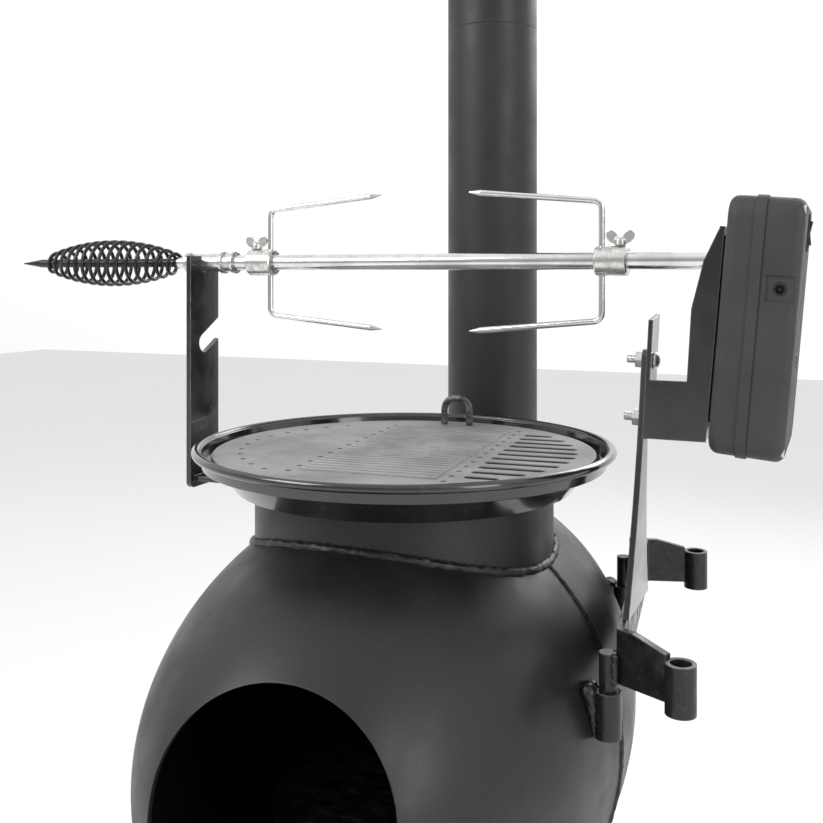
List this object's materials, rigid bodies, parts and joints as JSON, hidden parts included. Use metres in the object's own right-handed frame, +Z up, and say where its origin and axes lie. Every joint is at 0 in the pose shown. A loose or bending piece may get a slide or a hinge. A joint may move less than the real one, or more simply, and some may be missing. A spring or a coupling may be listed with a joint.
{
  "type": "rotisserie spit roaster",
  "caption": "Pot-belly camp stove with chimney, drip tray and slotted grill plate, and a motor-driven spit with forks above it.",
  "frame": {"origin": "on the floor, under the axis of the stove neck", "axes": "+Z up, +X along the spit towards the motor, +Y towards the chimney, fire opening at -Y"},
  "size_m": [0.6448, 0.4776, 1.2836],
  "materials": {
    "stove_paint": "heat-proof satin black paint",
    "tray_enamel": "gloss black enamel",
    "cast_plate": "seasoned cast iron",
    "loop_steel": "forged rod",
    "bracket_gloss": "gloss black enamel",
    "weld_bracket": "satin black paint over welded steel",
    "polished": "polished steel",
    "zinc": "bright zinc plated steel",
    "coil_black": "black oxide wire",
    "core_black": "black oxide bar",
    "case_plastic": "textured dark grey",
    "gear_plastic": "natural acetal",
    "sheet_steel": "plain steel sheet",
    "motor_can": "plated can",
    "jack_black": "black moulded socket",
    "cell_wrap": "plain plastic sleeve",
    "contact": "sprung brass strip",
    "foot_rubber": "moulded rubber",
    "fire_iron": "sooty cast iron"
  },
  "bodies": {
    "stove": {"battery_cells": "cell_wrap", "battery_contacts": "contact", "battery_cradle": "case_plastic", "bracket_bar": "weld_bracket", "bracket_bolts": "zinc", "bracket_lugs": "weld_bracket", "bracket_nuts": "zinc", "bracket_pins": "weld_bracket", "bracket_tubes": "weld_bracket", "case_screws": "zinc", "firebox_front_dome": "stove_paint", "firebox_rear_dome": "stove_paint", "flue_spigot": "stove_paint", "gear_motor": "motor_can", "gear_plate": "sheet_steel", "gear_plate_screws": "zinc", "left_support": "bracket_gloss", "leg_bosses": "stove_paint", "leg_feet": "foot_rubber", "leg_front_left": "stove_paint", "leg_front_right": "stove_paint", "leg_rear_left": "stove_paint", "leg_rear_right": "stove_paint", "motor_bracket": "bracket_gloss", "motor_case_inner": "case_plastic", "motor_case_outer": "case_plastic", "neck_ring": "stove_paint", "power_jack": "jack_black", "saddle_bolts": "zinc", "switch_frame": "case_plastic", "upright": "bracket_gloss"},
    "grate": {"fire_grate": "fire_iron", "grate_feet": "fire_iron"},
    "lower_chimney": {"lower_flue": "stove_paint"},
    "upper_chimney": {"upper_flue": "stove_paint"},
    "tray": {"drip_tray": "tray_enamel"},
    "grill": {"grill_plate": "cast_plate", "lifting_loop": "loop_steel"},
    "sleeve": {"bearing_sleeve": "zinc"},
    "spit": {"spit_rod": "polished", "grip_washer": "zinc", "grip_core": "core_black", "coil_grip": "coil_black"},
    "left_fork": {"fork_left_collar": "zinc", "fork_left_prongs": "polished"},
    "right_fork": {"fork_right_collar": "zinc", "fork_right_prongs": "polished"},
    "left_wing_screw": {"fork_left_wing_screw": "zinc"},
    "right_wing_screw": {"fork_right_wing_screw": "zinc"},
    "output_drive": {"output_gear": "gear_plastic"},
    "pinion": {"drive_pinion": "gear_plastic"},
    "cell_door": {"battery_door": "case_plastic"},
    "rocker": {"switch_rocker": "jack_black"}
  },
  "joints": [
    {"name": "grate_lift", "type": "slide", "parent": "stove", "child": "grate", "axis": [0, 0, 1], "range_m": [0, 0.04]},
    {"name": "lower_chimney_lift", "type": "slide", "parent": "stove", "child": "lower_chimney", "axis": [0, 0, 1], "range_m": [0, 0.048]},
    {"name": "upper_chimney_lift", "type": "slide", "parent": "lower_chimney", "child": "upper_chimney", "axis": [0, 0, 1], "range_m": [0, 0.048]},
    {"name": "tray_lift", "type": "slide", "parent": "stove", "child": "tray", "axis": [0, 0, 1], "range_m": [0, 0.03]},
    {"name": "grill_lift", "type": "slide", "parent": "tray", "child": "grill", "axis": [0, 0, 1], "range_m": [0, 0.03]},
    {"name": "spit_withdraw", "type": "slide", "parent": "stove", "child": "sleeve", "axis": [-1, 0, 0], "range_m": [0, 0.012]},
    {"name": "spit_spin", "type": "hinge", "parent": "sleeve", "child": "spit", "pos_m": [0, 0, 0.7715], "axis": [1, 0, 0], "continuous": true},
    {"name": "left_fork_slide", "type": "slide", "parent": "spit", "child": "left_fork", "axis": [1, 0, 0], "range_m": [-0.01, 0.03]},
    {"name": "right_fork_slide", "type": "slide", "parent": "spit", "child": "right_fork", "axis": [1, 0, 0], "range_m": [-0.03, 0.008]},
    {"name": "left_wing_turn", "type": "hinge", "parent": "left_fork", "child": "left_wing_screw", "pos_m": [-0.1265, 0, 0.7715], "axis": [0, 0, 1], "range_deg": [-180, 180]},
    {"name": "right_wing_turn", "type": "hinge", "parent": "right_fork", "child": "right_wing_screw", "pos_m": [0.1585, 0, 0.7715], "axis": [0, 0, 1], "range_deg": [-180, 180]},
    {"name": "output_spin", "type": "hinge", "parent": "stove", "child": "output_drive", "pos_m": [0.23, 0, 0.772], "axis": [0.9964, 0, -0.0845], "continuous": true},
    {"name": "pinion_spin", "type": "hinge", "parent": "stove", "child": "pinion", "pos_m": [0.22745, 0, 0.74191], "axis": [0.9964, 0, -0.0845], "continuous": true},
    {"name": "cell_door_pull", "type": "slide", "parent": "stove", "child": "cell_door", "axis": [0.9964, 0, -0.0845], "range_m": [0, 0.015]},
    {"name": "rocker_tilt", "type": "hinge", "parent": "stove", "child": "rocker", "pos_m": [0.27553, 0, 0.78821], "axis": [0, 1, 0], "range_deg": [-7, 7]}
  ],
  "couplings": [
    {"joint": "output_spin", "follows": "spit_spin", "ratio": 1},
    {"joint": "pinion_spin", "follows": "spit_spin", "ratio": -3}
  ]
}
